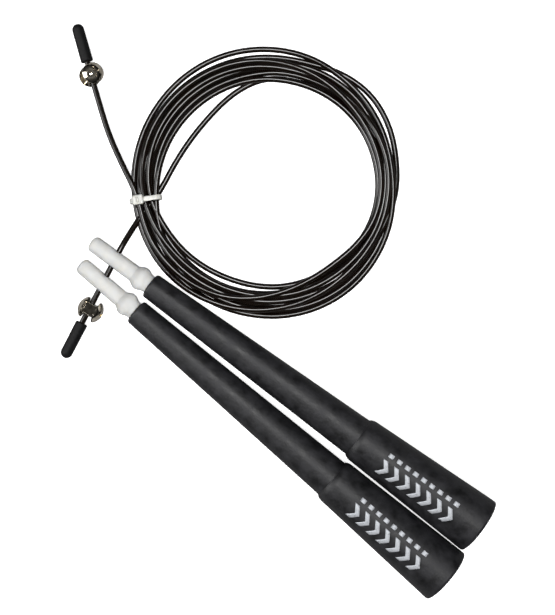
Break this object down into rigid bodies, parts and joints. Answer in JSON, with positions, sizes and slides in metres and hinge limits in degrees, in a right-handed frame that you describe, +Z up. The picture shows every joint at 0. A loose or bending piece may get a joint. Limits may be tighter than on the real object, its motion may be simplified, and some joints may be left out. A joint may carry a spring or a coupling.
{
  "type": "jump rope",
  "caption": "Speed jump rope put away: thin steel cable in a tied coil, two flared plastic handles with nylon swivel pins, screw clamps and end caps.",
  "frame": {"origin": "middle of the two handles' bounding box, on the floor", "axes": "+X along the handles from the swivel pins to the butts, +Y across the floor towards the coil, +Z up"},
  "size_m": [0.2668, 0.1698, 0.0246],
  "materials": {
    "handle_plastic": "matt black moulded plastic, lightly mottled",
    "white_nylon": "milky white nylon, satin",
    "bush_acetal": "natural acetal",
    "zinc_steel": "zinc-plated",
    "bright_nickel": "bright nickel plate",
    "cap_vinyl": "matt black dipped vinyl",
    "cable_jacket": "smoky clear jacket over twisted steel strands",
    "tie_nylon": "natural nylon"
  },
  "bodies": {
    "rope": {"cable_coil": "cable_jacket", "cable_chord": "cable_jacket", "cable_threaded_tail": "cable_jacket", "cable_free_tail": "cable_jacket", "cable_tie": "tie_nylon"},
    "left_pin": {"left_swivel_pin": "white_nylon", "left_thrust_washer": "zinc_steel", "left_retaining_screw": "zinc_steel"},
    "left_handle": {"left_handle_tube": "handle_plastic", "left_grip_sleeve": "handle_plastic", "left_end_plug": "handle_plastic", "left_swivel_bush": "bush_acetal"},
    "right_pin": {"right_swivel_pin": "white_nylon", "right_thrust_washer": "zinc_steel", "right_retaining_screw": "zinc_steel"},
    "right_handle": {"right_handle_tube": "handle_plastic", "right_grip_sleeve": "handle_plastic", "right_end_plug": "handle_plastic", "right_swivel_bush": "bush_acetal"},
    "threaded_clamp": {"threaded_end_clamp_nut": "bright_nickel"},
    "threaded_screw": {"threaded_end_clamp_screw": "bright_nickel"},
    "threaded_cap": {"threaded_end_cap": "cap_vinyl"},
    "free_clamp": {"free_end_clamp_nut": "bright_nickel"},
    "free_screw": {"free_end_clamp_screw": "bright_nickel"},
    "free_cap": {"free_end_cap": "cap_vinyl"}
  },
  "joints": [
    {"name": "left_lift", "type": "hinge", "parent": "rope", "child": "left_pin", "pos_m": [-0.09027, 0.00555, 0.00482], "axis": [0.1863, -0.9825, 0], "range_deg": [0, 150]},
    {"name": "left_spin", "type": "hinge", "parent": "left_pin", "child": "left_handle", "pos_m": [-0.072, 0.00622, 0.00555], "axis": [0.9985, 0.0366, 0.04], "continuous": true},
    {"name": "right_lift", "type": "hinge", "parent": "rope", "child": "right_pin", "pos_m": [-0.08816, -0.00555, 0.00482], "axis": [0.1863, -0.9825, 0], "range_deg": [0, 150]},
    {"name": "right_spin", "type": "hinge", "parent": "right_pin", "child": "right_handle", "pos_m": [-0.06989, -0.00622, 0.00555], "axis": [0.9985, -0.0366, 0.04], "continuous": true},
    {"name": "threaded_clamp_slide", "type": "slide", "parent": "rope", "child": "threaded_clamp", "axis": [0.1863, -0.9825, 0], "range_m": [-0.003, 0.0017]},
    {"name": "threaded_screw_turn", "type": "hinge", "parent": "threaded_clamp", "child": "threaded_screw", "pos_m": [-0.08587, -0.01764, 0.00482], "axis": [0.9788, 0.1856, 0.0872], "range_deg": [0, 1080]},
    {"name": "threaded_cap_pull", "type": "slide", "parent": "rope", "child": "threaded_cap", "axis": [0.1863, -0.9825, 0], "range_m": [0, 0.012]},
    {"name": "free_clamp_slide", "type": "slide", "parent": "rope", "child": "free_clamp", "axis": [-0.8118, 0.5839, 0], "range_m": [-0.006, 0.001]},
    {"name": "free_screw_turn", "type": "hinge", "parent": "free_clamp", "child": "free_screw", "pos_m": [-0.14643, 0.06048, 0.00495], "axis": [0.2187, 0.3041, 0.9272], "range_deg": [0, 1080]},
    {"name": "free_cap_pull", "type": "slide", "parent": "rope", "child": "free_cap", "axis": [-0.8118, 0.5839, 0], "range_m": [0, 0.012]}
  ]
}
